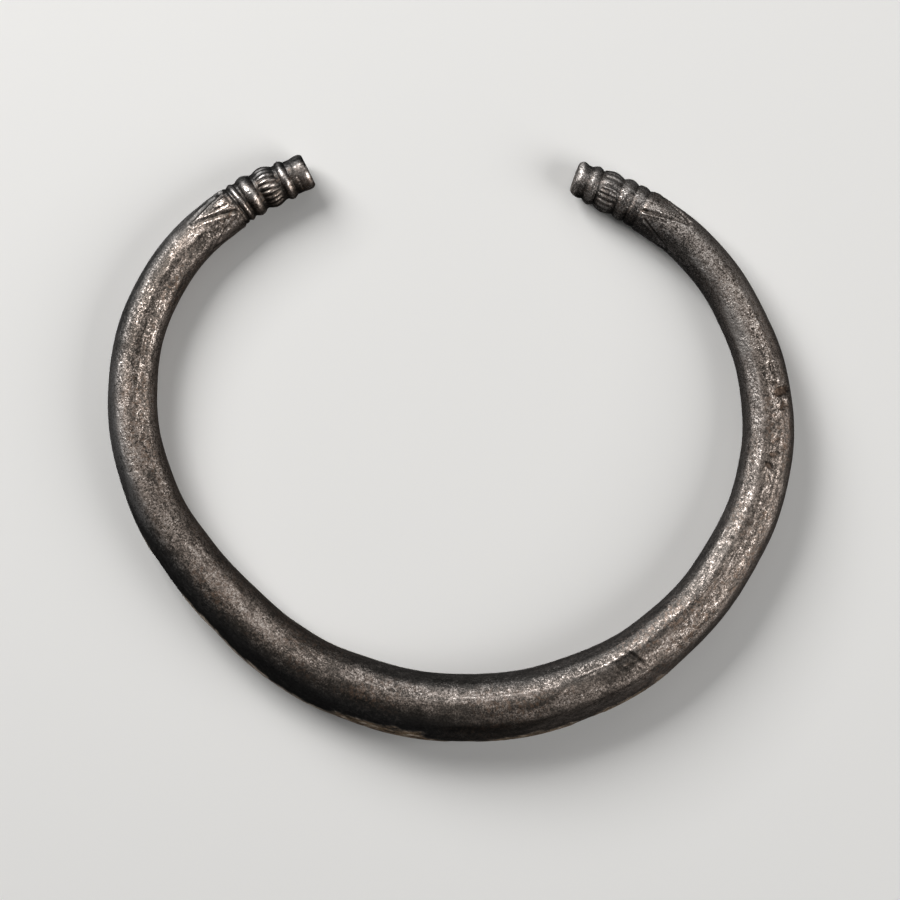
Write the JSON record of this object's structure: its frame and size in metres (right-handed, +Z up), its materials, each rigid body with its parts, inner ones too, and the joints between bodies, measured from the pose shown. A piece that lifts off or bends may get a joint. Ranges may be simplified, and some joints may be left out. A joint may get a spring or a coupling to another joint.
{
  "type": "bracelet",
  "caption": "Open silver hoop for the wrist, bent from one solid tapering bar, with moulded rings and a fluted bead at each end and engraved triangles behind them.",
  "frame": {"origin": "middle of the outline seen from above, on the surface that the bracelet lies on", "axes": "+Z up; the hoop lies flat with its thick back towards -Y and its opening towards +Y; +X runs to the right across the hoop"},
  "size_m": [0.0752, 0.0644, 0.0073],
  "materials": {
    "silver": "old silver, pitted and tarnished nearly black in the hollows, worn bright along the top of the bar and on the rings"
  },
  "bodies": {
    "root": {"bracelet": "silver"}
  },
  "joints": []
}
